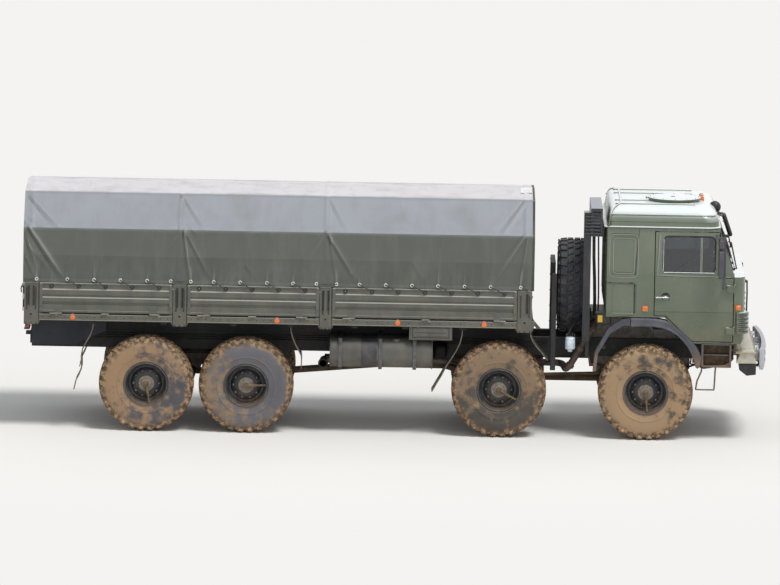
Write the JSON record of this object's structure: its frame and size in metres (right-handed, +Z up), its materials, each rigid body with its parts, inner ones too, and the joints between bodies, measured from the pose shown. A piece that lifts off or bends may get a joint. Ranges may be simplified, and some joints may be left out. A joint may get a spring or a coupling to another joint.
{
  "type": "eight wheel military cargo truck",
  "caption": "Cab-over off-road cargo truck with a tilting cab, canvas-covered drop-side bed and mud-caked single tyres.",
  "frame": {"origin": "on the ground under the middle of the truck's bounding box", "axes": "+X is forward, +Y is the truck's left side, +Z is up"},
  "size_m": [9.846, 2.996, 3.19],
  "materials": {
    "green_paint": "glossy dark green coach enamel, dusty low down",
    "roof_paint": "glossy green enamel that mirrors the pale sky",
    "board_paint": "satin green paint on pressed steel boards",
    "dark_frame": "satin near-black chassis paint with road film",
    "fender_grey": "grey moulded wing plastic, scuffed",
    "tyre_rubber": "worn black tyre rubber with dried tan mud",
    "rim_paint": "dark painted steel wheel",
    "canvas": "heavy grey-green coated tent canvas",
    "glass": "clear cab glass with a dark tint from inside",
    "mirror_black": "matte black mirror housings and arms",
    "lamp_orange": "orange lamp lenses",
    "lamp_mixed": "clear, orange and red lamp lenses",
    "bare_dark": "dark cast axle and hub iron",
    "seat_cloth": "dark seat cloth and dash plastic",
    "exhaust_steel": "dull heat-stained exhaust steel",
    "flap_rubber": "black rubber mudflap sheet",
    "bumper_paint": "dark green bumper paint with beige dust on top",
    "tank_paint": "satin grey-green tank paint, oil stained",
    "floor_wood": "weathered plywood floor in a steel edge"
  },
  "bodies": {
    "chassis": {"frame": "dark_frame", "axles": "bare_dark", "springs": "dark_frame", "drive_line": "bare_dark", "bumper": "bumper_paint", "engine": "bare_dark", "exhaust": "exhaust_steel", "fuel_tank": "tank_paint", "tool_boxes": "board_paint", "spare_tyre": "tyre_rubber", "spare_rim": "rim_paint", "spare_carrier": "dark_frame", "air_intake": "dark_frame", "rear_wings": "fender_grey", "bed_floor": "floor_wood", "bed_frame": "board_paint", "tent": "canvas", "mudflaps": "flap_rubber", "chassis_lamps": "lamp_mixed"},
    "cab": {"cab_shell": "green_paint", "cab_roof": "roof_paint", "windscreen": "glass", "cab_interior": "seat_cloth", "cab_wings": "fender_grey", "cab_lamps": "lamp_orange"},
    "service_panel": {"service_lid": "green_paint"},
    "roof_hatch": {"hatch_lid": "roof_paint"},
    "tail_board": {"tailgate": "board_paint"},
    "wheel_1r": {"tyre_1r": "tyre_rubber", "rim_1r": "rim_paint"},
    "steer_1r": {"knuckle_1r": "bare_dark"},
    "wheel_1l": {"tyre_1l": "tyre_rubber", "rim_1l": "rim_paint"},
    "steer_1l": {"knuckle_1l": "bare_dark"},
    "wheel_2r": {"tyre_2r": "tyre_rubber", "rim_2r": "rim_paint"},
    "steer_2r": {"knuckle_2r": "bare_dark"},
    "wheel_2l": {"tyre_2l": "tyre_rubber", "rim_2l": "rim_paint"},
    "steer_2l": {"knuckle_2l": "bare_dark"},
    "wheel_3r": {"tyre_3r": "tyre_rubber", "rim_3r": "rim_paint"},
    "wheel_3l": {"tyre_3l": "tyre_rubber", "rim_3l": "rim_paint"},
    "wheel_4r": {"tyre_4r": "tyre_rubber", "rim_4r": "rim_paint"},
    "wheel_4l": {"tyre_4l": "tyre_rubber", "rim_4l": "rim_paint"},
    "cab_door_r": {"door_r": "green_paint", "door_glass_r": "glass", "mirrors_r": "mirror_black"},
    "cab_door_l": {"door_l": "green_paint", "door_glass_l": "glass", "mirrors_l": "mirror_black"},
    "board_1r": {"side_board_1r": "board_paint"},
    "board_1l": {"side_board_1l": "board_paint"},
    "board_2r": {"side_board_2r": "board_paint"},
    "board_2l": {"side_board_2l": "board_paint"},
    "board_3r": {"side_board_3r": "board_paint"},
    "board_3l": {"side_board_3l": "board_paint"}
  },
  "joints": [
    {"name": "steering_1r", "type": "hinge", "parent": "chassis", "child": "steer_1r", "pos_m": [3.319, -0.83, 0.63], "axis": [0, 0, 1], "range_deg": [-32, 32]},
    {"name": "roll_1r", "type": "hinge", "parent": "steer_1r", "child": "wheel_1r", "pos_m": [3.319, -1.025, 0.63], "axis": [0, 1, 0], "continuous": true},
    {"name": "steering_1l", "type": "hinge", "parent": "chassis", "child": "steer_1l", "pos_m": [3.319, 0.83, 0.63], "axis": [0, 0, 1], "range_deg": [-32, 32]},
    {"name": "roll_1l", "type": "hinge", "parent": "steer_1l", "child": "wheel_1l", "pos_m": [3.319, 1.025, 0.63], "axis": [0, 1, 0], "continuous": true},
    {"name": "steering_2r", "type": "hinge", "parent": "chassis", "child": "steer_2r", "pos_m": [1.379, -0.83, 0.63], "axis": [0, 0, 1], "range_deg": [-21, 21]},
    {"name": "roll_2r", "type": "hinge", "parent": "steer_2r", "child": "wheel_2r", "pos_m": [1.379, -1.025, 0.63], "axis": [0, 1, 0], "continuous": true},
    {"name": "steering_2l", "type": "hinge", "parent": "chassis", "child": "steer_2l", "pos_m": [1.379, 0.83, 0.63], "axis": [0, 0, 1], "range_deg": [-21, 21]},
    {"name": "roll_2l", "type": "hinge", "parent": "steer_2l", "child": "wheel_2l", "pos_m": [1.379, 1.025, 0.63], "axis": [0, 1, 0], "continuous": true},
    {"name": "roll_3r", "type": "hinge", "parent": "chassis", "child": "wheel_3r", "pos_m": [-1.961, -1.025, 0.63], "axis": [0, 1, 0], "continuous": true},
    {"name": "roll_3l", "type": "hinge", "parent": "chassis", "child": "wheel_3l", "pos_m": [-1.961, 1.025, 0.63], "axis": [0, 1, 0], "continuous": true},
    {"name": "roll_4r", "type": "hinge", "parent": "chassis", "child": "wheel_4r", "pos_m": [-3.281, -1.025, 0.63], "axis": [0, 1, 0], "continuous": true},
    {"name": "roll_4l", "type": "hinge", "parent": "chassis", "child": "wheel_4l", "pos_m": [-3.281, 1.025, 0.63], "axis": [0, 1, 0], "continuous": true},
    {"name": "cab_tilt", "type": "hinge", "parent": "chassis", "child": "cab", "pos_m": [4.469, 0, 1.15], "axis": [0, 1, 0], "range_deg": [0, 38]},
    {"name": "door_swing_r", "type": "hinge", "parent": "cab", "child": "cab_door_r", "pos_m": [4.461, -1.25, 1.331], "axis": [0, 0, 1], "range_deg": [0, 72]},
    {"name": "door_swing_l", "type": "hinge", "parent": "cab", "child": "cab_door_l", "pos_m": [4.461, 1.25, 1.331], "axis": [0, 0, -1], "range_deg": [0, 72]},
    {"name": "service_lift", "type": "hinge", "parent": "cab", "child": "service_panel", "pos_m": [4.62, 0, 2.078], "axis": [0, -1, 0], "range_deg": [0, 80]},
    {"name": "hatch_lift", "type": "hinge", "parent": "cab", "child": "roof_hatch", "pos_m": [3.299, -0.3, 3.1273], "axis": [0, -1, 0], "range_deg": [0, 100]},
    {"name": "tailgate_drop", "type": "hinge", "parent": "chassis", "child": "tail_board", "pos_m": [-4.911, 0, 1.556], "axis": [0, -1, 0], "range_deg": [0, 175]},
    {"name": "board_drop_1r", "type": "hinge", "parent": "chassis", "child": "board_1r", "pos_m": [-3.8275, -1.252, 1.556], "axis": [1, 0, 0], "range_deg": [0, 172]},
    {"name": "board_drop_1l", "type": "hinge", "parent": "chassis", "child": "board_1l", "pos_m": [-3.8275, 1.252, 1.556], "axis": [-1, 0, 0], "range_deg": [0, 172]},
    {"name": "board_drop_2r", "type": "hinge", "parent": "chassis", "child": "board_2r", "pos_m": [-1.8825, -1.252, 1.556], "axis": [1, 0, 0], "range_deg": [0, 172]},
    {"name": "board_drop_2l", "type": "hinge", "parent": "chassis", "child": "board_2l", "pos_m": [-1.8825, 1.252, 1.556], "axis": [-1, 0, 0], "range_deg": [0, 172]},
    {"name": "board_drop_3r", "type": "hinge", "parent": "chassis", "child": "board_3r", "pos_m": [0.3775, -1.252, 1.556], "axis": [1, 0, 0], "range_deg": [0, 172]},
    {"name": "board_drop_3l", "type": "hinge", "parent": "chassis", "child": "board_3l", "pos_m": [0.3775, 1.252, 1.556], "axis": [-1, 0, 0], "range_deg": [0, 172]}
  ],
  "couplings": [
    {"joint": "steering_1l", "follows": "steering_1r", "ratio": 1},
    {"joint": "steering_2r", "follows": "steering_1r", "ratio": 0.65625},
    {"joint": "steering_2l", "follows": "steering_1r", "ratio": 0.65625}
  ]
}
